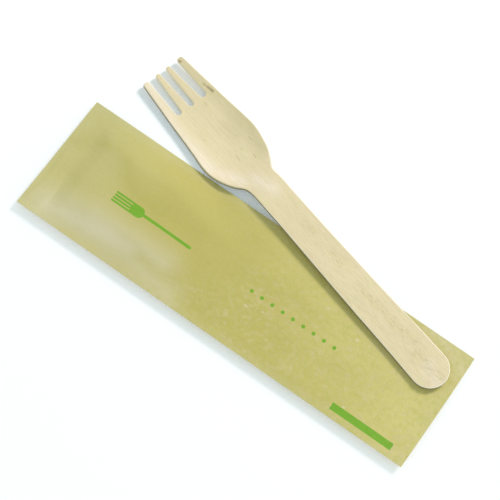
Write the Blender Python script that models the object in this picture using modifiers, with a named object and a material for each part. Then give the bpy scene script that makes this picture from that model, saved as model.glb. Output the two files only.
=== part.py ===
"""Wrapped wooden fork pack: a sealed paper sleeve on a table, with a loose veneer fork lying across it.

Metres, +Z up, +X along the sleeve. The origin is the centre of the sleeve's flat underside.
"""
import math

import bmesh
import bpy
from mathutils import Matrix, Vector
from mathutils.bvhtree import BVHTree

MM = 0.001

# Sleeve: two sheets sealed at both ends and folded at both sides
SLEEVE_LENGTH = 171.0 * MM
SLEEVE_WIDTH = 50.5 * MM
RIM_THICKNESS = 0.45 * MM
RIM_UNDER = 1.65 * MM
NEAR_LIFT = 1.0 * MM
SEAL_DEPTH = 8.0 * MM
UNDER_FLAT = 12.0 * MM
CAGE_CELLS = (30, 14)

# Upper sheet over the fork inside: station along the sleeve, height of the crest, half width of its flat
CREST = [
    (-77.5, 2.1, 15.0),
    (-70.0, 4.0, 13.0),
    (-58.0, 4.8, 12.0),
    (-40.0, 4.7, 11.5),
    (-22.0, 3.9, 8.5),
    (0.0, 3.4, 6.0),
    (40.0, 3.0, 6.0),
    (70.0, 2.7, 6.5),
    (77.5, 2.1, 8.0),
]

# Loose fork: s runs from the handle's round end to the tips, w across from the centre line
FORK_LENGTH = 160.0 * MM
VENEER = 1.6 * MM
END_HALF = 7.8 * MM
END_RADIUS = 7.65 * MM
TAPER_END = 81.0 * MM
TAPER_RADIUS = 150.0 * MM
NECK_HALF = 6.38 * MM
NECK_AT = 102.6 * MM
NECK_RADIUS = 5.6 * MM
SHOULDER_AT = 112.6 * MM
SHOULDER_HALF = 14.1 * MM
SHOULDER_RADIUS = 26.0 * MM
HEAD_HALF_AT_TIP = 9.3 * MM
TIP_RADIUS = 1.08 * MM
INNER_TIP_RADIUS = 0.9 * MM
SLOT_BOTTOM = 141.9 * MM
OUTER_SLOT_ROOT = 6.1 * MM
OUTER_SLOT_TIP = 5.2 * MM
OUTER_SLOT_ROOT_HALF = 1.28 * MM
OUTER_SLOT_TIP_HALF = 1.78 * MM
MIDDLE_SLOT_ROOT_HALF = 1.03 * MM
MIDDLE_SLOT_TIP_HALF = 1.51 * MM
EDGE_ROUND = 0.22 * MM
ARC_STEP = 0.55 * MM

# Pressed form of the veneer: height of the centre line, and how much the section cups
DIP = [(98.0, 0.0), (108.0, -2.4), (121.0, -4.25), (133.0, -4.2), (145.0, -3.7), (160.0, -2.9)]
CUP = [(98.0, 0.0), (110.0, 0.0095), (122.0, 0.0133), (160.0, 0.0125)]
PRESS_START = 98.0 * MM
PRESS_STEP = 3.4 * MM
CUP_STEP = 2.8 * MM

# Where the loose fork lies
HANDLE_END_AT = (81.25 * MM, 9.3 * MM)
FORK_YAW = math.radians(165.18)
REST_GAP = 0.3 * MM


def linear(red, green, blue):
    """Turns an sRGB colour, 0 to 255, into Blender's linear one."""
    parts = [v / 255.0 for v in (red, green, blue)]
    return tuple(v / 12.92 if v <= 0.04045 else ((v + 0.055) / 1.055) ** 2.4 for v in parts) + (1.0,)


PAPER_COLOUR = linear(198, 191, 122)
BIRCH_COLOUR = linear(228, 214, 177)


def principled(name, colour, roughness):
    """A plain Principled material."""
    material = bpy.data.materials.new(name)
    material.use_nodes = True
    shader = material.node_tree.nodes["Principled BSDF"]
    shader.inputs["Base Color"].default_value = colour
    shader.inputs["Roughness"].default_value = roughness
    shader.inputs["Metallic"].default_value = 0.0
    return material


def along(stations, x, column=1):
    """Smooth curve through a list of stations, level beyond its ends."""
    xs = [row[0] * MM for row in stations]
    ys = [row[column] for row in stations]
    last = len(xs) - 1
    if x <= xs[0]:
        return ys[0]
    if x >= xs[last]:
        return ys[last]
    slopes = [0.0] * len(xs)
    for i in range(1, last):
        before = (ys[i] - ys[i - 1]) / (xs[i] - xs[i - 1])
        after = (ys[i + 1] - ys[i]) / (xs[i + 1] - xs[i])
        if before * after > 0.0:
            slopes[i] = 2.0 * before * after / (before + after)
    i = max(k for k in range(last) if xs[k] <= x)
    span = xs[i + 1] - xs[i]
    t = (x - xs[i]) / span
    blend = t * t * (3.0 - 2.0 * t)
    rise = span * (t * (1.0 - t) ** 2 * slopes[i] - t * t * (1.0 - t) * slopes[i + 1])
    return ys[i] + (ys[i + 1] - ys[i]) * blend + rise


def ease(t):
    """Smooth step from 0 to 1."""
    t = min(max(t, 0.0), 1.0)
    return t * t * (3.0 - 2.0 * t)


def rim_under(y):
    """Height of the rim's underside, which curls up more at the side away from the loose fork."""
    return RIM_UNDER + NEAR_LIFT * ease(-2.0 * y / SLEEVE_WIDTH)


def sleeve_under(x, y):
    """Height of the underside: flat in the middle, lifted at the folds and the seals."""
    side = ease((abs(y) - UNDER_FLAT) / (SLEEVE_WIDTH / 2 - UNDER_FLAT))
    end = ease((abs(x) - SLEEVE_LENGTH / 2 + 2.0 * SEAL_DEPTH) / SEAL_DEPTH)
    return rim_under(y) * max(side, end)


def sleeve_top(x, y):
    """Height of the upper sheet: a ridge over the inner handle, a broad hump over the inner head."""
    rim = rim_under(y) + RIM_THICKNESS
    crest = along(CREST, x) * MM
    flat = along(CREST, x, 2) * MM
    t = (abs(y) - flat) / (SLEEVE_WIDTH / 2 - flat)
    t = min(max(t, 0.0), 1.0)
    fall = 0.5 * t + 0.5 * ease(t)
    return crest + (rim - crest) * fall


def build_sleeve(collection):
    """The sleeve as one solid, from a coarse cage under a Subdivision Surface."""
    bm = bmesh.new()
    bmesh.ops.create_grid(bm, x_segments=CAGE_CELLS[0], y_segments=CAGE_CELLS[1], size=0.5)
    bmesh.ops.scale(bm, vec=(SLEEVE_LENGTH, SLEEVE_WIDTH, 1.0), verts=bm.verts)
    lifted = bmesh.ops.extrude_face_region(bm, geom=bm.faces[:])["geom"]
    upper = {item for item in lifted if isinstance(item, bmesh.types.BMVert)}
    for vert in bm.verts:
        height = sleeve_top if vert in upper else sleeve_under
        vert.co.z = height(vert.co.x, vert.co.y)
    bmesh.ops.recalc_face_normals(bm, faces=bm.faces)
    crease = bm.edges.layers.float.new("crease_edge")
    for edge in bm.edges:
        if edge.calc_face_angle(0.0) > math.radians(50):
            edge[crease] = 1.0
    mesh = bpy.data.meshes.new("sleeve")
    bm.to_mesh(mesh)
    bm.free()
    mesh.materials.append(principled("sleeve", PAPER_COLOUR, 0.85))
    sleeve = bpy.data.objects.new("sleeve", mesh)
    collection.objects.link(sleeve)
    subdivide = sleeve.modifiers.new("soft form", "SUBSURF")
    subdivide.levels = 1
    subdivide.render_levels = 1
    mesh.shade_smooth()
    return sleeve


def rounded(corners):
    """Polygon corners (s, w, radius) turned into points with a tangent arc at each corner."""
    points = []
    for i, (s, w, radius) in enumerate(corners):
        corner = Vector((s, w))
        if radius == 0.0:
            points.append(corner)
            continue
        before = (Vector(corners[i - 1][:2]) - corner).normalized()
        after = (Vector(corners[i + 1][:2]) - corner).normalized()
        half = before.angle(after) / 2.0
        tangent = radius / math.tan(half)
        centre = corner + (before + after).normalized() * radius / math.sin(half)
        start = corner + before * tangent - centre
        finish = corner + after * tangent - centre
        sweep = start.angle_signed(finish)
        pieces = max(2, math.ceil(abs(sweep) / min(0.42, max(0.09, ARC_STEP / radius))))
        for k in range(pieces + 1):
            points.append(centre + Matrix.Rotation(-sweep * k / pieces, 2) @ start)
    return points


def half_outline():
    """One half of the flat blank, from the handle's end along the side to the middle slot."""
    return rounded([
        (0.0, 0.0, 0.0),
        (0.0, END_HALF, END_RADIUS),
        (TAPER_END, NECK_HALF, TAPER_RADIUS),
        (NECK_AT, NECK_HALF, NECK_RADIUS),
        (SHOULDER_AT, SHOULDER_HALF, SHOULDER_RADIUS),
        (FORK_LENGTH, HEAD_HALF_AT_TIP, TIP_RADIUS),
        (FORK_LENGTH, OUTER_SLOT_TIP + OUTER_SLOT_TIP_HALF, TIP_RADIUS),
        (SLOT_BOTTOM, OUTER_SLOT_ROOT + OUTER_SLOT_ROOT_HALF, OUTER_SLOT_ROOT_HALF * 0.95),
        (SLOT_BOTTOM, OUTER_SLOT_ROOT - OUTER_SLOT_ROOT_HALF, OUTER_SLOT_ROOT_HALF * 0.95),
        (FORK_LENGTH, OUTER_SLOT_TIP - OUTER_SLOT_TIP_HALF, INNER_TIP_RADIUS),
        (FORK_LENGTH, MIDDLE_SLOT_TIP_HALF, INNER_TIP_RADIUS),
        (SLOT_BOTTOM, MIDDLE_SLOT_ROOT_HALF, MIDDLE_SLOT_ROOT_HALF * 0.95),
        (SLOT_BOTTOM, 0.0, 0.0),
    ])


def flat_blank():
    """The half blank as a flat mesh, filled from a 2D curve."""
    curve = bpy.data.curves.new("blank", "CURVE")
    curve.dimensions = "2D"
    curve.fill_mode = "BOTH"
    spline = curve.splines.new("POLY")
    points = half_outline()
    spline.points.add(len(points) - 1)
    for point, place in zip(spline.points, points):
        point.co = (place.x, place.y, 0.0, 1.0)
    spline.use_cyclic_u = True
    drawn = bpy.data.objects.new("blank", curve)
    mesh = bpy.data.meshes.new_from_object(drawn)
    bpy.data.objects.remove(drawn)
    return mesh


def press(bm):
    """Cuts the blank into small faces and presses it into the form."""
    stations = []
    s = PRESS_START
    while s < FORK_LENGTH - TIP_RADIUS:
        stations.append(s)
        s += PRESS_STEP
    for s in stations:
        geometry = bm.verts[:] + bm.edges[:] + bm.faces[:]
        bmesh.ops.bisect_plane(bm, geom=geometry, plane_co=(s, 0, 0), plane_no=(1, 0, 0))
    w = CUP_STEP
    while w < SHOULDER_HALF:
        faces = [f for f in bm.faces if PRESS_START < f.calc_center_median().x < SLOT_BOTTOM - MM]
        edges = {e for f in faces for e in f.edges}
        verts = {v for f in faces for v in f.verts}
        geometry = list(verts) + list(edges) + faces
        bmesh.ops.bisect_plane(bm, geom=geometry, plane_co=(0, w, 0), plane_no=(0, 1, 0))
        w += CUP_STEP
    bmesh.ops.remove_doubles(bm, verts=bm.verts, dist=0.1 * MM)
    for vert in bm.verts:
        s, w = vert.co.x, vert.co.y
        vert.co.z = along(DIP, s) * MM + along(CUP, s) * w * w / MM


def build_fork(collection):
    """The fork: half a blank, pressed, mirrored, given its thickness and softened along its edges."""
    mesh = flat_blank()
    bm = bmesh.new()
    bm.from_mesh(mesh)
    bmesh.ops.remove_doubles(bm, verts=bm.verts, dist=0.01 * MM)
    bmesh.ops.dissolve_limit(bm, angle_limit=0.01, verts=[], edges=bm.edges)
    press(bm)
    bmesh.ops.recalc_face_normals(bm, faces=bm.faces)
    bm.to_mesh(mesh)
    bm.free()
    mesh.materials.clear()
    mesh.materials.append(principled("fork", BIRCH_COLOUR, 0.65))
    fork = bpy.data.objects.new("fork", mesh)
    collection.objects.link(fork)
    mirror = fork.modifiers.new("other half", "MIRROR")
    mirror.use_axis = (False, True, False)
    mirror.use_clip = True
    mirror.merge_threshold = 0.00001
    solid = fork.modifiers.new("veneer", "SOLIDIFY")
    solid.thickness = VENEER
    solid.offset = 0.0
    solid.use_even_offset = True
    soft = fork.modifiers.new("soft edges", "BEVEL")
    soft.width = EDGE_ROUND
    soft.segments = 2
    soft.limit_method = "ANGLE"
    soft.angle_limit = math.radians(50)
    mesh.shade_smooth()
    return fork


def world_mesh(thing):
    """Evaluated vertices and polygons of an object, in its own frame."""
    bpy.context.view_layer.update()
    depsgraph = bpy.context.evaluated_depsgraph_get()
    shape = thing.evaluated_get(depsgraph).to_mesh()
    points = [v.co.copy() for v in shape.vertices]
    polygons = [tuple(p.vertices) for p in shape.polygons]
    return points, polygons


def gap_down(points, tree):
    """Smallest drop from any of the points to the surface under it."""
    gap = 1.0
    down = Vector((0, 0, -1))
    for point in points:
        hit = tree.ray_cast(Vector((point.x, point.y, 0.05)), down)
        if hit[0] is not None:
            gap = min(gap, point.z - hit[0].z)
    return gap


def gap_up(points, tree):
    """Smallest rise from any of the points to the surface over it."""
    gap = 1.0
    up = Vector((0, 0, 1))
    for point in points:
        hit = tree.ray_cast(Vector((point.x, point.y, -0.05)), up)
        if hit[0] is not None:
            gap = min(gap, hit[0].z - point.z)
    return gap


def lay_fork(fork, sleeve):
    """Lays the bowl's foot on the table and tips the handle down until it just clears the sleeve."""
    under_points, under_faces = world_mesh(sleeve)
    points, faces = world_mesh(fork)
    under_tree = BVHTree.FromPolygons(under_points, under_faces)
    turn = Matrix.Rotation(FORK_YAW, 4, "Z")

    def stance(pitch):
        """Pose with the lowest point at the table's height, and the least gap to the sleeve."""
        pose = turn @ Matrix.Rotation(-pitch, 4, "Y")
        low = min((pose @ p).z for p in points)
        pose.translation = Vector((*HANDLE_END_AT, -low))
        placed = [pose @ p for p in points]
        over_tree = BVHTree.FromPolygons(placed, faces)
        return pose, min(gap_down(placed, under_tree), gap_up(under_points, over_tree))

    least, most = math.radians(-1.0), math.radians(3.0)
    for _ in range(18):
        middle = (least + most) / 2.0
        if stance(middle)[1] > REST_GAP:
            least = middle
        else:
            most = middle
    pose, gap = stance(least)
    fork.location = pose.translation
    fork.rotation_euler = (0.0, -least, FORK_YAW)
    print("handle pitch", round(math.degrees(least), 3), "gap", round(gap / MM, 3))


def main():
    """Builds the two pieces."""
    for thing in list(bpy.data.objects):
        bpy.data.objects.remove(thing)
    collection = bpy.data.collections.new("wrapped wooden fork pack")
    bpy.context.scene.collection.children.link(collection)
    sleeve = build_sleeve(collection)
    fork = build_fork(collection)
    lay_fork(fork, sleeve)


main()
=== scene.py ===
"""Dressed scene of a wrapped wooden fork pack.

A sealed paper sleeve with one wooden fork inside it lies on a pale floor, and a loose fork lies across it.
The row frame has +X along the sleeve, +Z up, and its origin at the centre of the sleeve's underside.
"""
import logging
import math
from dataclasses import dataclass, field
from enum import Enum
from typing import Callable, Iterable, Sequence

import bmesh
import bpy
from mathutils import Euler, Matrix, Vector, noise


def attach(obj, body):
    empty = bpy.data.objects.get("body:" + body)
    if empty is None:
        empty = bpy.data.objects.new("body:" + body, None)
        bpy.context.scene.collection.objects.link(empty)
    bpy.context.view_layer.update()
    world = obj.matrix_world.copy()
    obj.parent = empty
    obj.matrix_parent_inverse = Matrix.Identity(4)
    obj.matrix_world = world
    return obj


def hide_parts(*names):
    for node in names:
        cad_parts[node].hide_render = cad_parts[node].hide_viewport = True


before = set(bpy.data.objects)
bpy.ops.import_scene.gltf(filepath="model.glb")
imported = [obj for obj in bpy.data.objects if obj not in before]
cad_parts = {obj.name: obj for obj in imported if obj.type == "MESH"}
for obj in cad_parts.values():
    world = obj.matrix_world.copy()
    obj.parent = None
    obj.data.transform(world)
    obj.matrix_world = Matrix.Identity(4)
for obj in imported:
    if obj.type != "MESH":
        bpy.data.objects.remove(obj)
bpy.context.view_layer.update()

LOG = logging.getLogger("wrapped_fork")
MM = 0.001
TOUCH = 0.01 * MM
SHARP = math.radians(50.0)

Station = tuple[float, ...]
Socket = bpy.types.NodeSocket
Colour = tuple[float, float, float, float]


class Border(Enum):
    """How sharply an outer border of the sleeve is creased."""

    FOLDED = 0.97
    CUT = 1.0


class Tone(Enum):
    """Surface colours as they look on screen, 0 to 255."""

    PAPER = (190, 178, 98)
    PAPER_PALE = (222, 212, 190)
    PAPER_GREEN = (202, 194, 142)
    PAPER_WARM = (210, 198, 125)
    PAPER_PINK = (208, 191, 142)
    PAPER_LEAF = (189, 185, 98)
    PAPER_DEEP = (180, 170, 86)
    PAPER_EDGE = (208, 192, 118)
    INK = (110, 168, 22)
    BIRCH = (230, 214, 175)
    BIRCH_PALE_HIGHLIGHT = (252, 236, 224)
    BIRCH_ROSE = (236, 212, 184)
    BIRCH_OLIVE_SHADE = (208, 195, 150)
    BIRCH_DEEP = (213, 196, 146)
    BIRCH_GREY = (188, 176, 132)
    BIRCH_RIM_HIGHLIGHT = (255, 248, 234)
    BIRCH_EDGE = (134, 119, 72)
    BIRCH_MARK = (128, 100, 46)
    FLOOR = (254, 251, 251)

    def linear(self) -> Colour:
        """Returns the colour in Blender's linear space, with alpha 1."""
        parts = [v / 255.0 for v in self.value]
        return tuple(v / 12.92 if v <= 0.04045 else ((v + 0.055) / 1.055) ** 2.4 for v in parts) + (1.0,)


@dataclass(frozen=True)
class Ramp:
    """A smooth change from start at low to end at high, level beyond both."""

    low: float
    high: float
    start: float = 0.0
    end: float = 1.0


@dataclass(frozen=True)
class Grain:
    """A noise pattern: its stretch along each axis in millimetres, its detail and the band it is cut to."""

    size: tuple[float, float, float]
    detail: float
    low: float
    high: float
    shift: tuple[float, float, float] = (0.0, 0.0, 0.0)


@dataclass(frozen=True)
class Wash:
    """A tone laid along paths, each start x, start y, end x, end y and radius in millimetres."""

    paths: tuple
    softness: float
    share: float
    tone: Tone


def ease(t: float) -> float:
    """Smooth step from 0 to 1."""
    t = min(max(t, 0.0), 1.0)
    return t * t * (3.0 - 2.0 * t)


def between(value: float, low: float, high: float) -> float:
    """Smooth step from 0 at low to 1 at high, where low may be the larger one."""
    return ease((value - low) / (high - low))


def along(stations: Sequence[Station], x: float, column: int = 1) -> float:
    """Smooth curve through stations, level beyond its ends.

    Args:
        stations: rows that start with a position and go on with values.
        x: the position asked for, in the stations' unit.
        column: which value of a row to follow.

    Returns:
        The value at x.
    """
    xs = [row[0] for row in stations]
    ys = [row[column] for row in stations]
    last = len(xs) - 1
    if x <= xs[0]:
        return ys[0]
    if x >= xs[last]:
        return ys[last]
    slopes = [0.0] * len(xs)
    for i in range(1, last):
        before = (ys[i] - ys[i - 1]) / (xs[i] - xs[i - 1])
        after = (ys[i + 1] - ys[i]) / (xs[i + 1] - xs[i])
        if before * after > 0.0:
            slopes[i] = 2.0 * before * after / (before + after)
    i = max(k for k in range(last) if xs[k] <= x)
    span = xs[i + 1] - xs[i]
    t = (x - xs[i]) / span
    rise = span * (t * (1.0 - t) ** 2 * slopes[i] - t * t * (1.0 - t) * slopes[i + 1])
    return ys[i] + (ys[i + 1] - ys[i]) * ease(t) + rise


def off_line(x: float, y: float, path: Sequence[tuple[float, float]]) -> float:
    """Distance from a point to a broken line.

    Args:
        x: first coordinate of the point.
        y: second coordinate of the point.
        path: the corners of the line.

    Returns:
        The shortest distance, in the unit of the points.
    """
    point = Vector((x, y))
    best = 1e9
    for a, b in zip(path[:-1], path[1:]):
        start, run = Vector(a), Vector(b) - Vector(a)
        share = min(max((point - start).dot(run) / run.length_squared, 0.0), 1.0)
        best = min(best, (point - start - run * share).length)
    return best


@dataclass(frozen=True)
class Ripple:
    """Smooth unevenness of a surface: its lengths along and across, its seed and its height."""

    length: float
    width: float
    seed: float
    height: float

    def at(self, x: float, y: float) -> float:
        """Height at a place."""
        return self.height * noise.noise(Vector((x / self.length, y / self.width, self.seed)))


@dataclass(frozen=True)
class Bell:
    """Rounded ridge along a line, or a groove where its height is below 0."""

    height: float
    half_width: float

    def at(self, distance: float) -> float:
        """Height at a distance from the line."""
        return self.height * math.exp(-((distance / self.half_width) ** 2))


@dataclass
class Tree:
    """Adds nodes to one node tree and wires them up."""

    tree: bpy.types.NodeTree

    def add(self, kind: str, **settings: object) -> bpy.types.Node:
        """Adds a node.

        Args:
            kind: the node's type.
            settings: its properties by name.

        Returns:
            The node.
        """
        node = self.tree.nodes.new(kind)
        for name, value in settings.items():
            setattr(node, name, value)
        return node

    def feed(self, socket: Socket, value: object) -> None:
        """Links a socket into another, or sets its constant.

        Args:
            socket: the input.
            value: another socket or a constant.
        """
        if isinstance(value, bpy.types.NodeSocket):
            self.tree.links.new(value, socket)
        else:
            socket.default_value = value

    def wire(self, node: bpy.types.Node, **values: object) -> bpy.types.Node:
        """Feeds a node's inputs by name.

        Args:
            node: the node.
            values: sockets or constants by input name, with spaces written as underscores.

        Returns:
            The same node.
        """
        for name, value in values.items():
            self.feed(node.inputs[name.replace("_", " ")], value)
        return node

    def math(self, operation: str, *values: object) -> Socket:
        """Adds a Math node.

        Args:
            operation: the node's operation.
            values: sockets or numbers for its inputs, in order.

        Returns:
            The node's result.
        """
        node = self.add("ShaderNodeMath", operation=operation)
        for socket, value in zip(node.inputs, values):
            self.feed(socket, value)
        return node.outputs[0]

    def vector(self, operation: str, *values: object) -> bpy.types.Node:
        """Adds a Vector Math node.

        Args:
            operation: the node's operation.
            values: sockets or vectors for its inputs, in order.

        Returns:
            The node.
        """
        node = self.add("ShaderNodeVectorMath", operation=operation)
        for socket, value in zip(node.inputs, values):
            self.feed(socket, value)
        return node

    def remap(self, value: object, low: object, high: object, start: float = 0.0, end: float = 1.0) -> Socket:
        """Turns one range into another, smoothly and clamped.

        Args:
            value: what is turned.
            low: where the range begins.
            high: where it ends.
            start: the result at low.
            end: the result at high.

        Returns:
            The result.
        """
        node = self.add("ShaderNodeMapRange", interpolation_type="SMOOTHSTEP")
        self.wire(node, Value=value, From_Min=low, From_Max=high, To_Min=start, To_Max=end)
        return node.outputs[0]

    def blend(self, share: object, under: object, over: object) -> Socket:
        """Mixes two colours.

        Args:
            share: how much of the upper colour shows.
            under: the lower colour.
            over: the upper colour.

        Returns:
            The mixed colour.
        """
        node = self.add("ShaderNodeMix", data_type="RGBA")
        self.feed(node.inputs[0], share)
        self.feed(node.inputs[6], under)
        self.feed(node.inputs[7], over)
        return node.outputs[2]

    def ramp(self, value: object, ramp: Ramp) -> Socket:
        """Sends a value through a ramp."""
        return self.remap(value, ramp.low, ramp.high, ramp.start, ramp.end)

    def within(self, value: Socket, low: float, high: float, soft: float) -> Socket:
        """Masks a stretch.

        Args:
            value: the place along it.
            low: where it begins.
            high: where it ends.
            soft: the half width of its blurred ends.

        Returns:
            The mask.
        """
        rising = self.remap(value, low - soft, low + soft)
        falling = self.remap(value, high - soft, high + soft, 1.0, 0.0)
        return self.math("MULTIPLY", rising, falling)

    def cover(self, colour: object, tone: Tone, mask: object, share: object) -> Socket:
        """Lays a tone over a colour where a mask is, by a share."""
        return self.blend(self.math("MULTIPLY", mask, share), colour, tone.linear())

    def weigh(self, *parts: tuple[Socket, float]) -> Socket:
        """Adds up values.

        Args:
            parts: each value with its weight.

        Returns:
            The weighted sum.
        """
        total: object = 0.0
        for value, weight in parts:
            total = self.math("MULTIPLY_ADD", value, weight, total)
        return total

    def split(self, vector: Socket) -> list[Socket]:
        """Splits a vector.

        Args:
            vector: the vector.

        Returns:
            Its x, y and z.
        """
        node = self.add("ShaderNodeSeparateXYZ")
        self.feed(node.inputs[0], vector)
        return list(node.outputs)

    def upward(self) -> Socket:
        """How far the surface faces up, as the object's own normal says."""
        return self.split(self.add("ShaderNodeTexCoord").outputs["Normal"])[2]

    def group(self, shared: bpy.types.NodeTree, **values: object) -> bpy.types.Node:
        """Places a shared group.

        Args:
            shared: the group's tree.
            values: sockets or constants by input name, with spaces written as underscores.

        Returns:
            The group node.
        """
        return self.wire(self.add("ShaderNodeGroup", node_tree=shared), **values)


@dataclass
class SharedEffects:
    """The node groups that both the paper and the wood use. Lengths in them are millimetres."""

    cloud: bpy.types.NodeTree = field(init=False)
    patch: bpy.types.NodeTree = field(init=False)
    tint: bpy.types.NodeTree = field(init=False)

    def __post_init__(self) -> None:
        """Builds each group once."""
        self.cloud = self._cloud()
        self.patch = self._patch()
        self.tint = self._tint()

    @staticmethod
    def _start(name: str, inputs: Iterable[tuple[str, str, object]], output: tuple[str, str]) -> tuple:
        """Makes an empty group with its sockets.

        Args:
            name: the group's name.
            inputs: name, kind and default of each input.
            output: name and kind of the output.

        Returns:
            A Tree on the group, its input node and its output node.
        """
        shared = bpy.data.node_groups.new(name, "ShaderNodeTree")
        for label, kind, default in inputs:
            socket = shared.interface.new_socket(name=label, in_out="INPUT", socket_type=f"NodeSocket{kind}")
            if default is not None:
                socket.default_value = default
        shared.interface.new_socket(name=output[0], in_out="OUTPUT", socket_type=f"NodeSocket{output[1]}")
        tree = Tree(shared)
        return tree, tree.add("NodeGroupInput"), tree.add("NodeGroupOutput")

    def _cloud(self) -> bpy.types.NodeTree:
        """Builds noise that is stretched along each axis and cut to a band.

        Returns:
            The group, which puts out a value.
        """
        inputs = [
            ("Place", "Vector", None),
            ("Size", "Vector", (10.0, 10.0, 10.0)),
            ("Detail", "Float", 3.0),
            ("Low", "Float", 0.35),
            ("High", "Float", 0.65),
        ]
        tree, given, out = self._start("cloud", inputs, ("Value", "Float"))
        spread = tree.vector("DIVIDE", given.outputs["Place"], given.outputs["Size"])
        texture = tree.add("ShaderNodeTexNoise")
        tree.wire(texture, Vector=spread.outputs[0], Detail=given.outputs["Detail"], Scale=1.0)
        band = tree.remap(texture.outputs["Fac"], given.outputs["Low"], given.outputs["High"])
        tree.wire(out, Value=band)
        return tree.tree

    def _patch(self) -> bpy.types.NodeTree:
        """Builds a soft-edged stroke from a start to an end, seen from above.

        Returns:
            The group, which puts out a mask.
        """
        inputs = [
            ("Place", "Vector", None),
            ("Start", "Vector", (0.0, 0.0, 0.0)),
            ("End", "Vector", (1.0, 0.0, 0.0)),
            ("Radius", "Float", 1.0),
            ("Softness", "Float", 0.1),
        ]
        tree, given, out = self._start("patch", inputs, ("Mask", "Float"))
        level = tree.vector("MULTIPLY", given.outputs["Place"], (1.0, 1.0, 0.0))
        reach = tree.vector("SUBTRACT", level.outputs[0], given.outputs["Start"])
        run = tree.vector("SUBTRACT", given.outputs["End"], given.outputs["Start"])
        ahead = tree.vector("DOT_PRODUCT", reach.outputs[0], run.outputs[0]).outputs["Value"]
        whole = tree.vector("DOT_PRODUCT", run.outputs[0], run.outputs[0]).outputs["Value"]
        share = tree.math("DIVIDE", ahead, tree.math("MAXIMUM", whole, 0.0001))
        held = tree.math("MINIMUM", tree.math("MAXIMUM", share, 0.0), 1.0)
        foot = tree.wire(tree.vector("SCALE", run.outputs[0]), Scale=held)
        gap = tree.vector("DISTANCE", reach.outputs[0], foot.outputs[0])
        inner = tree.math("SUBTRACT", given.outputs["Radius"], given.outputs["Softness"])
        outer = tree.math("ADD", given.outputs["Radius"], given.outputs["Softness"])
        tree.wire(out, Mask=tree.remap(gap.outputs["Value"], inner, outer, 1.0, 0.0))
        return tree.tree

    def _tint(self) -> bpy.types.NodeTree:
        """Builds what makes a colour lighter or darker by a value around one half.

        Returns:
            The group, which puts out a colour.
        """
        inputs = [("Colour", "Color", None), ("Value", "Float", 0.5), ("Amount", "Float", 0.1)]
        tree, given, out = self._start("tint", inputs, ("Colour", "Color"))
        swing = tree.math("SUBTRACT", given.outputs["Value"], 0.5)
        factor = tree.math("MULTIPLY_ADD", swing, given.outputs["Amount"], 1.0)
        scaled = tree.wire(tree.vector("SCALE", given.outputs["Colour"]), Scale=factor)
        tree.wire(out, Colour=scaled.outputs[0])
        return tree.tree


@dataclass
class Surface(Tree):
    """A material in the making: its tree, Principled node, shared groups and place in millimetres."""

    shader: bpy.types.Node
    shared: SharedEffects
    place: Socket
    x: Socket = field(init=False)
    y: Socket = field(init=False)

    def __post_init__(self) -> None:
        """Splits the place."""
        self.x, self.y, _ = self.split(self.place)

    def cloud(self, grain: Grain, at: Socket | None = None) -> Socket:
        """Places the cloud group.

        Args:
            grain: the pattern.
            at: the place it is drawn at, if not the object's own.

        Returns:
            The pattern's value, 0 to 1.
        """
        place = self.place if at is None else at
        if any(grain.shift):
            place = self.vector("ADD", place, grain.shift).outputs[0]
        values = {"Size": grain.size, "Detail": grain.detail, "Low": grain.low, "High": grain.high}
        return self.group(self.shared.cloud, Place=place, **values).outputs[0]

    def strokes(self, wash: Wash) -> Socket:
        """Unites the soft strokes of a wash.

        Args:
            wash: its paths and their softness.

        Returns:
            One mask for all of them.
        """
        total: object = 0.0
        common = {"Place": self.place, "Softness": wash.softness}
        for x0, y0, x1, y1, radius in wash.paths:
            ends = {"Start": (x0, y0, 0.0), "End": (x1, y1, 0.0)}
            node = self.group(self.shared.patch, Radius=radius, **common, **ends)
            total = self.math("MAXIMUM", total, node.outputs[0])
        return total

    def washed(self, colour: Socket, *washes: Wash) -> Socket:
        """Lays washes over a colour, one after another.

        Args:
            colour: the colour below.
            washes: the washes in order.

        Returns:
            The new colour.
        """
        for wash in washes:
            colour = self.cover(colour, wash.tone, self.strokes(wash), wash.share)
        return colour

    def tint(self, colour: object, value: Socket, amount: object) -> Socket:
        """Places the tint group and returns its colour."""
        return self.group(self.shared.tint, Colour=colour, Value=value, Amount=amount).outputs[0]

    def relief(self, height: Socket, depth: float) -> None:
        """Feeds a height into the shader's normal.

        Args:
            height: the height, in units of depth.
            depth: that unit in metres.
        """
        bump = self.wire(self.add("ShaderNodeBump"), Strength=1.0, Distance=depth, Height=height)
        self.wire(self.shader, Normal=bump.outputs["Normal"])


@dataclass(frozen=True)
class Finish:
    """A Principled finish and the shared groups that it is made with."""

    shared: SharedEffects
    name: str
    roughness: float

    def begin(self) -> tuple[bpy.types.Material, Surface]:
        """Makes the material.

        Returns:
            The material and the surface that its nodes are added to.
        """
        material = bpy.data.materials.new(self.name)
        material.use_nodes = True
        tree = Tree(material.node_tree)
        shader = tree.wire(tree.tree.nodes["Principled BSDF"], Roughness=self.roughness)
        own = tree.add("ShaderNodeTexCoord").outputs["Object"]
        place = tree.wire(tree.vector("SCALE", own), Scale=1.0 / MM)
        return material, Surface(tree.tree, shader, self.shared, place.outputs[0])


@dataclass(frozen=True)
class DotRow:
    """A row of plain printed dots along the sleeve, in millimetres."""

    first: float = 4.5
    step: float = 4.6
    count: int = 9
    level: float = -2.3
    radius: float = 0.75


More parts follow.
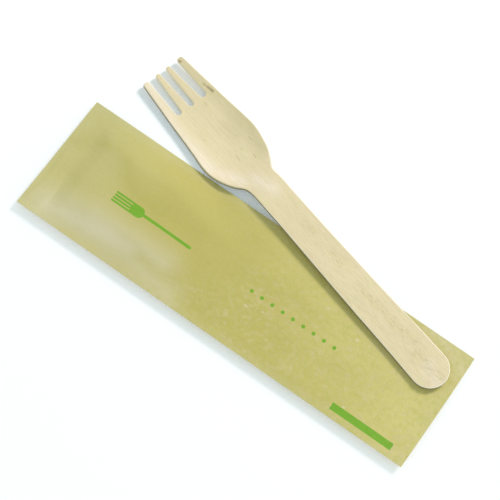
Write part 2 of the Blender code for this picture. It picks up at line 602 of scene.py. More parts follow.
@dataclass(frozen=True)
class PaperFinish(Finish):
    """Uncoated pale green paper with a painted sheen where it is a little glossier, painted shade along a
    valley and a crease, fibres and plain green print.
    """

    name: str = "sleeve paper"
    roughness: float = 0.72
    sheen_roughness: float = 0.58
    half_width: float = 25.25
    broad: Grain = Grain((26.0, 14.0, 40.0), 2.0, 0.3, 0.7)
    mottle: Grain = Grain((1.7, 1.5, 8.0), 3.0, 0.3, 0.7)
    fine: Grain = Grain((0.55, 0.55, 4.0), 2.0, 0.25, 0.75)
    patches: Grain = Grain((5.5, 4.5, 12.0), 2.0, 0.35, 0.7)
    blush: Grain = Grain((2.1, 1.8, 9.0), 3.0, 0.4, 0.7, (40.0, 7.0, 0.0))
    leafy: Grain = Grain((1.9, 2.0, 9.0), 3.0, 0.4, 0.7, (9.0, 60.0, 0.0))
    fibre: Grain = Grain((3.5, 0.28, 5.0), 1.0, 0.62, 0.72)
    cross_fibre: Grain = Grain((3.0, 0.25, 5.0), 1.0, 0.62, 0.72)
    fibre_turn: float = 37.0
    fibre_share: float = 0.16
    cross_fibre_share: float = 0.18
    broad_depth: float = 0.03
    warm: Ramp = Ramp(8.0, 84.0, 0.0, 0.95)
    warm_lean: float = 1.2
    warm_swing: float = 14.0
    left_fade: Ramp = Ramp(-72.0, -36.0, 0.5, 0.0)
    border_fade: Ramp = Ramp(0.0, 5.0, 0.4, 0.0)
    end_fade: Ramp = Ramp(78.0, 85.5, 0.0, 0.3)
    right_part: Ramp = Ramp(-20.0, 12.0)
    right_lean: float = 0.9
    blush_share: Ramp = Ramp(0.0, 1.0, 0.25, 0.6)
    leafy_share: Ramp = Ramp(0.0, 1.0, 0.5, 0.3)
    mottle_depth: Ramp = Ramp(0.0, 1.0, 0.01, 0.035)
    fine_depth: Ramp = Ramp(0.0, 1.0, 0.022, 0.05)
    # Painted sheen: a pale wash standing in for the soft reflection on the sleeve's lower left; the same mask
    # also lowers the roughness there.
    painted_sheen_and_gloss: Wash = Wash(
        (
            (-76.0, -19.5, -58.0, -17.0, 3.5),
            (-58.0, -17.0, -42.0, -16.0, 5.0),
            (-42.0, -12.5, -28.0, -13.0, 2.0),
            (-42.0, -19.0, -20.0, -21.5, 1.5),
        ), 11.0, 0.72, Tone.PAPER_PALE,
    )
    # Painted glint: the brightest core of the painted sheen.
    painted_glint: Wash = Wash(((-64.0, -18.0, -50.0, -15.0, 1.5),), 6.0, 0.25, Tone.PAPER_PALE)
    corner: Wash = Wash(((67.0, 25.0, 84.0, 19.0, 1.5),), 6.0, 0.4, Tone.PAPER_PALE)
    # Painted shade: a darker wash along the shallow valley beside the hump over the inner fork's head.
    valley: Wash = Wash(
        (
            (-83.0, 7.5, -76.0, 11.5, 0.4),
            (-76.0, 11.5, -67.0, 14.0, 0.7),
            (-67.0, 14.0, -62.5, 12.0, 1.2),
            (-62.5, 12.0, -58.0, 6.5, 1.8),
            (-58.0, 6.5, -52.0, 2.8, 2.6),
            (-52.0, 2.8, -40.0, 2.6, 2.6),
            (-40.0, 2.6, -24.0, 3.0, 1.2),
        ), 5.0, 0.55, Tone.PAPER_DEEP,
    )
    # Painted shade along a crease near the left end.
    crease: Wash = Wash(
        ((-83.5, 2.5, -82.9, -12.0, 0.4), (-82.9, -12.0, -84.4, -20.3, 0.4)), 1.3, 0.3, Tone.PAPER_DEEP
    )
    dull: Wash = Wash(((-68.0, 19.5, -50.0, 18.5, 2.0),), 6.0, 0.3, Tone.PAPER_DEEP)
    yellow: Wash = Wash(((-66.0, -24.5, -52.0, -23.6, 0.8),), 2.6, 0.5, Tone.PAPER_EDGE)
    pale_spots: Wash = Wash(
        (
            (5.5, -8.2, 6.4, -8.4, 0.35),
            (46.4, 5.1, 46.6, 5.2, 0.55),
            (56.2, -19.0, 56.6, -18.9, 0.4),
            (12.1, -6.7, 12.5, -6.6, 0.3),
            (31.0, 9.0, 31.4, 9.3, 0.3),
        ), 0.3, 0.5, Tone.PAPER_PALE,
    )
    specks: Wash = Wash(
        ((84.7, -1.1, 84.8, -1.2, 0.18), (85.1, -20.5, 85.2, -20.6, 0.2), (81.0, -9.4, 81.1, -9.4, 0.15)),
        0.12, 0.55, Tone.BIRCH_MARK,
    )
    bar: tuple = ((52.4, 78.9), (-22.45, -19.55))
    emblem: Wash = Wash(
        (
            (-45.0, -2.4, -23.5, -2.4, 0.62),
            (-48.0, -2.4, -46.6, -2.4, 2.3),
            (-49.0, -0.55, -57.4, -0.55, 0.42),
            (-49.0, -1.783, -57.4, -1.783, 0.42),
            (-49.0, -3.017, -57.4, -3.017, 0.42),
            (-49.0, -4.25, -57.4, -4.25, 0.42),
        ), 0.1, 1.0, Tone.INK,
    )
    dots: DotRow = DotRow()
    print_soft: float = 0.1
    print_cover: Ramp = Ramp(0.0, 1.0, 0.9, 0.99)
    print_depth: float = 0.07
    upper_side: Ramp = Ramp(0.2, 0.4)
    fine_relief: float = 0.35
    mottle_relief: float = 0.5
    fibre_relief: float = 0.2
    relief_fade: Ramp = Ramp(0.0, 1.0, 0.45, 1.0)
    relief_depth: float = 0.00006

    def dot_mask(self, on: Surface) -> Socket:
        """Masks a row of plain dots along the sleeve.

        Args:
            on: the surface.

        Returns:
            The mask.
        """
        row = self.dots
        turn = on.math("DIVIDE", on.math("SUBTRACT", on.x, row.first), row.step)
        nearest = on.math("MINIMUM", on.math("MAXIMUM", on.math("ROUND", turn), 0.0), row.count - 1.0)
        across = on.math("MULTIPLY", on.math("SUBTRACT", turn, nearest), row.step)
        rise = on.math("SUBTRACT", on.y, row.level)
        squares = on.math("ADD", on.math("MULTIPLY", across, across), on.math("MULTIPLY", rise, rise))
        inner, outer = row.radius - self.print_soft, row.radius + self.print_soft
        return on.remap(on.math("SQRT", squares), inner, outer, 1.0, 0.0)

    def printed(self, on: Surface, fine: Socket) -> Socket:
        """Masks the print on the upper side: a bar near the right end, a row of dots and a plain fork.

        Args:
            on: the surface.
            fine: the finest pattern, which thins the ink a little.

        Returns:
            The print's cover, 0 to 1.
        """
        sides = (on.within(value, *ends, self.print_soft) for value, ends in zip((on.x, on.y), self.bar))
        mask = on.math("MAXIMUM", on.math("MULTIPLY", *sides), self.dot_mask(on))
        mask = on.math("MAXIMUM", mask, on.strokes(self.emblem))
        on_top = on.ramp(on.upward(), self.upper_side)
        return on.math("MULTIPLY", on.math("MULTIPLY", mask, on_top), on.ramp(fine, self.print_cover))

    def ground(self, on: Surface, broad: Socket) -> Socket:
        """Colours the bare sheet: warmer to the right, greener at the left, the borders and the ends.

        Args:
            on: the surface.
            broad: the broadest pattern.

        Returns:
            The sheet's colour.
        """
        slanted = on.math("ADD", on.x, on.math("MULTIPLY", on.y, self.warm_lean))
        swung = on.math("ADD", slanted, on.math("MULTIPLY", broad, self.warm_swing))
        colour = on.tint(Tone.PAPER.linear(), broad, self.broad_depth)
        colour = on.blend(on.ramp(swung, self.warm), colour, Tone.PAPER_WARM.linear())
        inward = on.math("SUBTRACT", self.half_width, on.math("ABSOLUTE", on.y))
        outward = on.math("ABSOLUTE", on.x)
        for value, fade in ((on.x, self.left_fade), (inward, self.border_fade), (outward, self.end_fade)):
            colour = on.blend(on.ramp(value, fade), colour, Tone.PAPER_GREEN.linear())
        return colour

    def blotched(self, on: Surface, colour: Socket, right: Socket) -> Socket:
        """Lays the blotchy pink and leaf green over the right part.

        Args:
            on: the surface.
            colour: the colour below.
            right: the mask of the right part.

        Returns:
            The new colour.
        """
        patches = on.cloud(self.patches)
        pink = (self.blush, self.blush_share, Tone.PAPER_PINK)
        green = (self.leafy, self.leafy_share, Tone.PAPER_LEAF)
        for grain, share, tone in (pink, green):
            mask = on.math("MULTIPLY", on.cloud(grain), right)
            colour = on.cover(colour, tone, mask, on.ramp(patches, share))
        return colour

    def build(self) -> bpy.types.Material:
        """Makes the paper's material.

        Returns:
            The material.
        """
        material, on = self.begin()
        broad, mottle, fine, fibre = map(on.cloud, (self.broad, self.mottle, self.fine, self.fibre))
        leaned = on.math("SUBTRACT", on.x, on.math("MULTIPLY", on.y, self.right_lean))
        right = on.ramp(leaned, self.right_part)
        # The painted sheen goes into the colour, and its mask also makes the paper a little glossier there.
        painted_sheen_and_gloss = on.strokes(self.painted_sheen_and_gloss)
        colour = on.cover(self.ground(on, broad), self.painted_sheen_and_gloss.tone, painted_sheen_and_gloss, self.painted_sheen_and_gloss.share)
        # In turn: a painted glint, a pale corner, painted shade along the valley and the crease, a dull patch
        # and a yellow strip at the near border.
        colour = on.washed(colour, self.painted_glint, self.corner, self.valley, self.crease, self.dull, self.yellow)
        colour = self.blotched(on, colour, right)
        colour = on.tint(colour, mottle, on.ramp(right, self.mottle_depth))
        colour = on.tint(colour, fine, on.ramp(right, self.fine_depth))
        colour = on.washed(colour, self.pale_spots, self.specks)
        turn = (0.0, 0.0, math.radians(self.fibre_turn))
        turned = on.wire(on.add("ShaderNodeMapping"), Rotation=turn, Vector=on.place)
        colour = on.cover(colour, Tone.PAPER_PALE, fibre, self.fibre_share)
        cross_fibre = on.cloud(self.cross_fibre, turned.outputs[0])
        colour = on.cover(colour, Tone.PAPER_DEEP, cross_fibre, self.cross_fibre_share)
        ink = on.tint(Tone.INK.linear(), mottle, self.print_depth)
        colour = on.blend(self.printed(on, fine), colour, ink)
        rough = on.remap(painted_sheen_and_gloss, 0.0, 1.0, self.roughness, self.sheen_roughness)
        on.wire(on.shader, Base_Color=colour, Roughness=rough)
        height = on.weigh((fine, self.fine_relief), (mottle, self.mottle_relief), (fibre, self.fibre_relief))
        on.relief(on.math("MULTIPLY", height, on.ramp(right, self.relief_fade)), self.relief_depth)
        return material


@dataclass(frozen=True)
class BirchFinish(Finish):
    """Plain sanded birch veneer: straight grain along the fork, short pores and a few brown marks, with
    painted shade and painted highlights in the bowl and on the edges.
    """

    name: str = "birch veneer"
    roughness: float = 0.62
    roughness_swing: tuple = (-0.06, 0.08)
    wander_scale: float = 0.03
    wander: float = 3.0
    broad: Grain = Grain((34.0, 9.0, 12.0), 2.0, 0.3, 0.7)
    blotch: Grain = Grain((6.0, 3.2, 6.0), 2.0, 0.3, 0.7)
    bands: Grain = Grain((24.0, 1.1, 3.0), 3.0, 0.3, 0.7)
    lines: Grain = Grain((5.5, 0.3, 1.0), 3.0, 0.28, 0.72)
    pores: Grain = Grain((1.3, 0.16, 0.6), 1.0, 0.62, 0.74)
    specks: Grain = Grain((1.9, 0.45, 2.0), 1.0, 0.68, 0.78)
    dashes: Grain = Grain((2.4, 0.36, 1.0), 2.0, 0.5, 0.64)
    dust: Grain = Grain((0.5, 0.42, 1.0), 1.0, 0.25, 0.75)
    broad_depth: float = 0.05
    dust_depth: float = 0.045
    blotch_share: float = 0.32
    bands_share: float = 0.16
    pores_share: float = 0.22
    specks_share: float = 0.25
    painted_bowl_shade_share: Ramp = Ramp(0.0, 1.0, 0.85, 0.6)
    figure_lines: Ramp = Ramp(0.25, 0.75, 0.15, 0.85)
    handle_part: Ramp = Ramp(62.0, 104.0, 1.0, 0.0)
    lines_depth: Ramp = Ramp(0.0, 1.0, 0.07, 0.12)
    dashes_share: Ramp = Ramp(0.0, 1.0, 0.16, 0.6)
    ragged: Ramp = Ramp(0.0, 1.0, 0.5, 1.0)
    streaks: Wash = Wash(
        (
            (144.8, -9.0, 145.9, -8.8, 0.16),
            (141.4, -9.6, 144.0, -9.2, 0.4),
            (158.3, -7.7, 158.7, -7.6, 0.35),
        ), 0.55, 0.97, Tone.BIRCH_MARK,
    )
    flecks: Wash = Wash(
        (
            (116.8, -8.3, 118.6, -8.4, 0.1),
            (116.2, -3.1, 117.3, -3.0, 0.08),
            (113.6, 0.5, 116.0, 0.3, 0.14),
            (110.4, -4.8, 111.9, -5.0, 0.14),
            (127.6, 5.7, 128.7, 5.7, 0.08),
            (138.6, -4.3, 139.9, -4.3, 0.1),
        ), 0.45, 0.45, Tone.BIRCH_MARK,
    )
    # Painted shade: an olive wash on the far inner slope of the bowl, which faces away from the light; a
    # cloud varies its share.
    painted_bowl_shade: Wash = Wash(
        (
            (143.0, -9.4, 130.0, -11.0, 1.2),
            (130.0, -11.0, 120.0, -11.2, 2.2),
            (120.0, -10.5, 112.0, -8.5, 0.6),
            (146.0, -8.7, 158.5, -7.7, 1.0),
            (127.0, -5.0, 122.0, -4.5, 0.8),
        ), 5.0, 1.0, Tone.BIRCH_OLIVE_SHADE,
    )
    # Painted highlight: pale washes on the head's near side, where the bowl's inner slope faces the light;
    # the same wash lays two pale patches on the neck and the handle's end.
    painted_highlight: Wash = Wash(
        (
            (159.0, 8.0, 133.0, 12.6, 1.2),
            (133.0, 12.6, 117.0, 11.5, 2.0),
            (117.0, 11.5, 106.0, 5.5, 1.2),
            (104.0, 1.5, 96.0, -1.0, 1.0),
            (1.5, 1.0, 8.0, -1.0, 1.0),
        ), 4.5, 0.75, Tone.BIRCH_PALE_HIGHLIGHT,
    )
    figure: Wash = Wash(
        (
            (89.6, -3.8, 86.0, -3.6, 0.5),
            (78.0, -1.5, 74.0, -1.6, 1.2),
            (63.0, -1.5, 58.0, -1.0, 1.0),
            (48.0, -0.3, 33.0, -1.8, 0.9),
            (29.5, -1.4, 18.0, -3.0, 1.3),
            (14.5, -0.5, 3.0, -1.2, 1.5),
        ), 2.2, 0.5, Tone.BIRCH_DEEP,
    )
    # Painted highlights: near-white on the rounded top edges, and over a wider slope along the handle's
    # edges.
    rim: Ramp = Ramp(0.7, 0.95, 0.85, 0.0)
    painted_handle_rim_highlight: Ramp = Ramp(0.93, 0.999, 0.95, 0.0)
    level_part: Ramp = Ramp(92.0, 96.0, 1.0, 0.0)
    outer_side: Ramp = Ramp(7.3, 8.1)
    before_slots: Ramp = Ramp(138.5, 140.5, 1.0, 0.0)
    slot_wall: Ramp = Ramp(0.3, 0.7, 0.45, 0.0)
    # Darker outer walls: partly the cut edge's own colour, partly painted shade on side walls that face away
    # from the light.
    outer_wall: Ramp = Ramp(0.1, 0.5, 0.92, 0.0)
    lines_relief: float = 0.5
    pores_relief: float = -0.6
    relief_depth: float = 0.00004

    def wandered(self, on: Surface) -> Socket:
        """Lets the straight grain wander a little to the sides.

        Args:
            on: the surface.

        Returns:
            The place that the grain's patterns are drawn at.
        """
        drift = on.wire(on.add("ShaderNodeTexNoise"), Scale=self.wander_scale, Vector=on.place)
        sway = on.math("MULTIPLY", on.math("SUBTRACT", drift.outputs["Fac"], 0.5), self.wander)
        lean = on.wire(on.add("ShaderNodeCombineXYZ"), Y=sway)
        return on.vector("ADD", on.place, lean.outputs[0]).outputs[0]

    def edges(self, on: Surface, colour: Socket) -> Socket:
        """Colours what isn't level: painted highlights on the rims, slot walls a little deeper in tone, and
        darker outer walls, partly the cut edge's own colour and partly painted shade.

        Args:
            on: the surface.
            colour: the colour of the level faces.

        Returns:
            The new colour.
        """
        slope = on.math("ABSOLUTE", on.upward())
        wide = on.ramp(on.math("ABSOLUTE", on.y), self.outer_side)
        outer = on.math("MAXIMUM", wide, on.ramp(on.x, self.before_slots))
        parts = (
            # Painted highlights on the rims, then the walls.
            (self.rim, 1.0, Tone.BIRCH_RIM_HIGHLIGHT),
            (self.painted_handle_rim_highlight, on.ramp(on.x, self.level_part), Tone.BIRCH_RIM_HIGHLIGHT),
            (self.slot_wall, on.math("SUBTRACT", 1.0, outer), Tone.BIRCH_DEEP),
            # Outer walls: own edge colour with painted shade.
            (self.outer_wall, outer, Tone.BIRCH_EDGE),
        )
        for steep, where, tone in parts:
            colour = on.cover(colour, tone, on.ramp(slope, steep), where)
        return colour

    def build(self) -> bpy.types.Material:
        """Makes the wood's material.

        Returns:
            The material.
        """
        material, on = self.begin()
        grains = (self.broad, self.blotch, self.bands, self.lines, self.pores, self.specks, self.dashes)
        at_grain = self.wandered(on)
        broad, blotch, bands, lines, pores, specks, dashes = (on.cloud(grain, at_grain) for grain in grains)
        colour = on.tint(Tone.BIRCH.linear(), broad, self.broad_depth)
        colour = on.cover(colour, Tone.BIRCH_ROSE, blotch, self.blotch_share)
        # Painted highlight on the head's near side.
        colour = on.washed(colour, self.painted_highlight)
        # Painted shade on the bowl's far inner slope.
        colour = on.cover(colour, self.painted_bowl_shade.tone, on.strokes(self.painted_bowl_shade), on.ramp(blotch, self.painted_bowl_shade_share))
        colour = on.cover(colour, Tone.BIRCH_DEEP, bands, self.bands_share)
        figure = on.strokes(self.figure)
        drawn = on.math("MULTIPLY", figure, on.ramp(lines, self.figure_lines))
        colour = on.cover(colour, self.figure.tone, drawn, self.figure.share)
        handle = on.ramp(on.x, self.handle_part)
        colour = on.tint(colour, lines, on.ramp(handle, self.lines_depth))
        dashed = on.math("MULTIPLY", handle, on.ramp(figure, self.dashes_share))
        colour = on.cover(colour, Tone.BIRCH_GREY, dashes, dashed)
        for mask, share in ((pores, self.pores_share), (specks, self.specks_share)):
            colour = on.cover(colour, Tone.BIRCH_DEEP, mask, share)
        colour = on.tint(colour, on.cloud(self.dust), self.dust_depth)
        ragged = on.ramp(lines, self.ragged)
        for marks in (self.streaks, self.flecks):
            mask = on.math("MULTIPLY", on.strokes(marks), ragged)
            colour = on.cover(colour, marks.tone, mask, marks.share)
        colour = self.edges(on, colour)
        smooth, coarse = (self.roughness + swing for swing in self.roughness_swing)
        on.wire(on.shader, Base_Color=colour, Roughness=on.remap(bands, 0.0, 1.0, smooth, coarse))
        on.relief(on.weigh((lines, self.lines_relief), (pores, self.pores_relief)), self.relief_depth)
        return material


@dataclass(frozen=True)
class FloorFinish(Finish):
    """Plain pale studio floor that glows faintly, so its shadows stay light."""

    name: str = "studio floor"
    roughness: float = 0.9
    glow: tuple = (0.25, 0.55, 1.0, 1.0)
    glow_strength: float = 0.12

    def build(self) -> bpy.types.Material:
        """Makes the floor's material.

        Returns:
            The material.
        """
        material, on = self.begin()
        on.wire(on.shader, Base_Color=Tone.FLOOR.linear())
        on.wire(on.shader, Emission_Color=self.glow, Emission_Strength=self.glow_strength)
        return material


def linked(name: str, data: bpy.types.ID) -> bpy.types.Object:
    """Makes an object and links it to the scene.

    Args:
        name: its name.
        data: its mesh, light or camera.

    Returns:
        The object.
    """
    made = bpy.data.objects.new(name, data)
    bpy.context.scene.collection.objects.link(made)
    return made


def as_mesh(bm: bmesh.types.BMesh, mesh: bpy.types.Mesh) -> bpy.types.Mesh:
    """Writes an editable mesh into a mesh, frees it and returns the mesh."""
    bm.to_mesh(mesh)
    bm.free()
    return mesh


def new_object(name: str, mesh: bpy.types.Mesh, material: bpy.types.Material) -> bpy.types.Object:
    """Makes a shown object from a mesh.

    Args:
        name: the object's name.
        mesh: its mesh.
        material: the one material on it.

    Returns:
        The object, linked to the scene.
    """
    mesh.materials.clear()
    mesh.materials.append(material)
    mesh.shade_smooth()
    mesh.set_sharp_from_angle(angle=SHARP)
    return linked(name, mesh)


@dataclass
class Sleeve:
    """The sealed paper sleeve. Its sizes are in millimetres.

    The under sheet is flat in the middle and rises to folds at both sides and to seals at both ends.
    The upper sheet shows the fork inside: a ridge over its handle, a broad hump over its head.
    A row of crest has a place along the sleeve, the height there and the half width of its level top.
    """

    length: float = 171.0
    width: float = 50.5
    rim_top: float = 2.1
    rim_under: float = 1.94
    near_lift: float = 0.9
    far_drop: float = 1.8
    far_spread: float = 0.6
    head_begins: tuple = (-64.0, -48.0)
    head_ends: tuple = (-18.0, -29.0)
    head_across: tuple = (12.0, 24.0)
    seal: float = 8.0
    under_flat: float = 12.0
    lap_half: float = 7.0
    lap_step: float = 0.14
    lap_slope: float = 0.8
    cells: tuple = (114, 38)
    crest: tuple = (
        (-77.5, 2.1, 15.0),
        (-70.0, 4.0, 13.0),
        (-58.0, 4.8, 12.0),
        (-40.0, 4.7, 11.5),
        (-22.0, 3.9, 8.5),
        (0.0, 3.25, 6.0),
        (40.0, 2.85, 6.0),
        (70.0, 2.6, 6.5),
        (77.5, 2.1, 8.0),
    )
    bow: float = 0.3
    bow_evened: float = 0.6
    bow_reach: tuple = (60.0, 85.0)
    loose_part: tuple = (20.0, -10.0)
    swell: Ripple = Ripple(17.0, 10.0, 3.1, 1.0)
    swell_height: tuple = (0.06, 0.16)
    crumple: Ripple = Ripple(4.5, 3.5, 8.7, 0.03)
    relief_margin: float = 5.0
    valley: tuple = (
        (-83.0, 7.5), (-76.0, 11.5), (-67.0, 14.0), (-62.5, 12.0), (-58.0, 6.5), (-52.0, 2.8), (-26.0, 2.8)
    )
    valley_bell: Bell = Bell(-0.14, 4.6)
    puckers: tuple = (
        ((-71.0, 14.0), (-84.0, 23.5)),
        ((-71.0, -14.0), (-84.0, -23.5)),
        ((74.0, -8.0), (83.0, -20.0)),
    )
    pucker_bell: Bell = Bell(0.06, 1.2)
    seal_bell: Bell = Bell(-0.1, 0.8)

    def beside_head(self, x: float, y: float) -> float:
        """How much a point belongs to the stretch of the border beside the loose fork's head."""
        lengthwise = between(x, *self.head_begins) * between(x, *self.head_ends)
        return lengthwise * between(y, *self.head_across)

    def lift(self, x: float, y: float) -> float:
        """Extra height of the rim: curled up at the near side and pressed down beside the fork's head."""
        return self.near_lift * ease(-2.0 * y / self.width) - self.far_drop * self.beside_head(x, y)

    def under(self, x: float, y: float) -> float:
        """Shapes the under sheet, with the lap of the long seam as its lowest strip.

        Args:
            x: place along the sleeve.
            y: place across it.

        Returns:
            The height there.
        """
        side = between(abs(y), self.under_flat, self.width / 2)
        end = ease((abs(x) - self.length / 2 + 2.0 * self.seal) / self.seal)
        lap = self.lap_step * ease((abs(y) - self.lap_half) / self.lap_slope) * (1.0 - max(side, end))
        return (self.rim_under + self.lift(x, y)) * max(side, end) + lap

    def inset(self, x: float, y: float) -> float:
        """How far in from the border a point is, as a share that fades the small relief."""
        reach = min(self.length / 2 - abs(x), self.width / 2 - abs(y))
        return ease(reach / self.relief_margin)

    def top(self, x: float, y: float) -> float:
        """Shapes the upper sheet, with its soft undulation, valley and puckers.

        Args:
            x: place along the sleeve.
            y: place across it.

        Returns:
            The height there.
        """
        crest, flat = along(self.crest, x), along(self.crest, x, 2)
        t = min(max((abs(y) - flat) / (self.width / 2 - flat), 0.0), 1.0)
        level = crest + (self.rim_top + self.lift(x, y) - crest) * (t + ease(t)) / 2.0
        loose = between(x, *self.loose_part)
        low, high = self.swell_height
        swell = self.swell.at(x, y) * (low + (high - low) * loose)
        dent = self.valley_bell.at(off_line(x, y, self.valley)) * loose
        tucks = sum(self.pucker_bell.at(off_line(x, y, path)) for path in self.puckers)
        press = self.seal_bell.at(abs(x) - self.length / 2 + self.seal)
        return level + (swell + self.crumple.at(x, y) + dent + tucks + press) * self.inset(x, y)

    def mesh(self) -> bpy.types.Mesh:
        """Makes the closed mesh of both sheets from a grid.

        Returns:
            The mesh, with its outer borders creased.
        """
        bm = bmesh.new()
        bmesh.ops.create_grid(bm, x_segments=self.cells[0], y_segments=self.cells[1], size=0.5)
        bmesh.ops.scale(bm, vec=(self.length * MM, self.width * MM, 1.0), verts=bm.verts)
        lifted = bmesh.ops.extrude_face_region(bm, geom=bm.faces[:])["geom"]
        upper = {item for item in lifted if isinstance(item, bmesh.types.BMVert)}
        for vert in bm.verts:
            height: Callable[[float, float], float] = self.top if vert in upper else self.under
            x, y = vert.co.x / MM, vert.co.y / MM
            bowed = 1.0 - self.bow_evened * (2.0 * y / self.width) ** 2
            vert.co.z = height(x, y) * MM
            vert.co.x += self.bow * bowed * between(x, *self.bow_reach) * MM
            vert.co.y += self.far_spread * self.beside_head(x, y) * MM
        bmesh.ops.recalc_face_normals(bm, faces=bm.faces)
        crease = bm.edges.layers.float.new("crease_edge")
        for edge in bm.edges:
            if edge.calc_face_angle(0.0) > SHARP:
                at_end = all(abs(abs(v.co.x) - self.length * MM / 2) < TOUCH for v in edge.verts)
                edge[crease] = (Border.CUT if at_end else Border.FOLDED).value
        return as_mesh(bm, bpy.data.meshes.new("paper_sleeve"))

    def build(self, material: bpy.types.Material) -> bpy.types.Object:
        """Makes the sleeve, in place of its CAD solid.

        Args:
            material: the paper.

        Returns:
            The piece.
        """
        piece = new_object("paper_sleeve", self.mesh(), material)
        soften = piece.modifiers.new("paper", "SUBSURF")
        soften.levels = 1
        soften.render_levels = 1
        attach(piece, "root")
        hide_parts("sleeve")
        LOG.info("sleeve: %d cage faces", len(piece.data.polygons))
        return piece


@dataclass
class VeneerFork:
    """The loose fork, pressed from one sheet of veneer. Its sizes are in millimetres.

    s runs from the handle's round end to the tips and w from the centre line to a side.
    A row of dip has s and the pressed height there; a row of cup has s and the height for each w squared.
    """

    length: float = 160.0
    veneer: float = 1.6
    end_half: float = 7.8
    end_radius: float = 7.65
    taper_end: float = 81.0
    taper_radius: float = 150.0
    neck_half: float = 6.38
    neck_at: float = 102.6
    neck_radius: float = 5.6
    shoulder_at: float = 112.6
    shoulder_half: float = 14.1
    shoulder_radius: float = 26.0
    head_half_at_tip: float = 9.55
    tip_radius: float = 1.08
    inner_tip_radius: float = 0.9
    slot_bottom: float = 141.9
    outer_slot_root: float = 6.1
    outer_slot_tip: float = 5.2
    outer_slot_root_half: float = 1.28
    outer_slot_tip_half: float = 1.78
    middle_slot_root_half: float = 1.03
    middle_slot_tip_half: float = 1.51
    slot_round: float = 0.95
    edge_round: float = 0.32
    edge_segments: int = 3
    arc_step: float = 0.3
    arc_turns: tuple = (0.05, 0.26)
    dip: tuple = (
        (96.0, 0.0), (102.0, -0.8), (109.0, -2.8), (121.0, -4.35),
        (133.0, -4.35), (145.0, -4.15), (160.0, -3.8),
    )
    cup: tuple = ((98.0, 0.0), (110.0, 0.0088), (122.0, 0.0084), (140.0, 0.0072), (160.0, 0.0066))
    pressed_from: float = 94.0
    probe: float = 0.2
    handle_step: float = 5.0
    fine_from: float = 92.0
    step_along: float = 1.7
    step_across: float = 1.3
    cuts_aside: int = 9
    handle_end: tuple = (81.25, 9.2)
    yaw: float = 165.13
    pitch: float = 0.64
    roll: float = 1.9
    shoulder_set: float = 0.6
    shoulder_begins: tuple = (98.0, 106.0)
    shoulder_ends: tuple = (126.0, 114.0)
    end_set: float = -0.28
    end_part: tuple = (48.0, 18.0)
    long_waver: Ripple = Ripple(9.0, 1.0, 1.7, 0.07)
    short_waver: Ripple = Ripple(2.2, 1.0, 4.3, 0.03)
    face_waver: Ripple = Ripple(17.0, 9.0, 6.1, 0.05)
    waver_side: float = 5.0
    waver_whole: float = 1.5

    def rounded(self, corners: Sequence[tuple[float, float, float]]) -> list[Vector]:
        """Rounds a polygon's corners.

        Args:
            corners: s, w and radius of each corner; the first and last have radius 0.

        Returns:
            The outline's points.
        """
        points: list[Vector] = []
        for i, (s, w, radius) in enumerate(corners):
            corner = Vector((s, w))
            if radius == 0.0:
                points.append(corner)
                continue
            before = (Vector(corners[i - 1][:2]) - corner).normalized()
            after = (Vector(corners[i + 1][:2]) - corner).normalized()
            half = before.angle(after) / 2.0
            tangent = radius / math.tan(half)
            centre = corner + (before + after).normalized() * radius / math.sin(half)
            start = corner + before * tangent - centre
            sweep = start.angle_signed(corner + after * tangent - centre)
            turn = min(max(self.arc_step / radius, self.arc_turns[0]), self.arc_turns[1])
            pieces = max(4, math.ceil(abs(sweep) / turn))
            points += [centre + Matrix.Rotation(-sweep * k / pieces, 2) @ start for k in range(pieces + 1)]
        return points

    def half_outline(self) -> list[Vector]:
        """Draws one half of the flat blank.

        Returns:
            Its points, from the handle's end along the side to the middle slot.
        """
        root, tip = self.outer_slot_root, self.outer_slot_tip
        root_half, tip_half = self.outer_slot_root_half, self.outer_slot_tip_half
        return self.rounded([
            (0.0, 0.0, 0.0),
            (0.0, self.end_half, self.end_radius),
            (self.taper_end, self.neck_half, self.taper_radius),
            (self.neck_at, self.neck_half, self.neck_radius),
            (self.shoulder_at, self.shoulder_half, self.shoulder_radius),
            (self.length, self.head_half_at_tip, self.tip_radius),
            (self.length, tip + tip_half, self.tip_radius),
            (self.slot_bottom, root + root_half, root_half * self.slot_round),
            (self.slot_bottom, root - root_half, root_half * self.slot_round),
            (self.length, tip - tip_half, self.inner_tip_radius),
            (self.length, self.middle_slot_tip_half, self.inner_tip_radius),
            (self.slot_bottom, self.middle_slot_root_half, self.middle_slot_root_half * self.slot_round),
            (self.slot_bottom, 0.0, 0.0),
        ])

    def blank(self) -> bpy.types.Mesh:
        """Fills the half blank from a 2D curve.

        Returns:
            The flat mesh.
        """
        curve = bpy.data.curves.new("blank", "CURVE")
        curve.dimensions = "2D"
        curve.fill_mode = "BOTH"
        spline = curve.splines.new("POLY")
        points = self.half_outline()
        spline.points.add(len(points) - 1)
        for point, place in zip(spline.points, points):
            point.co = (place.x * MM, place.y * MM, 0.0, 1.0)
        spline.use_cyclic_u = True
        drawn = bpy.data.objects.new("blank", curve)
        mesh = bpy.data.meshes.new_from_object(drawn)
        bpy.data.objects.remove(drawn)
        return mesh

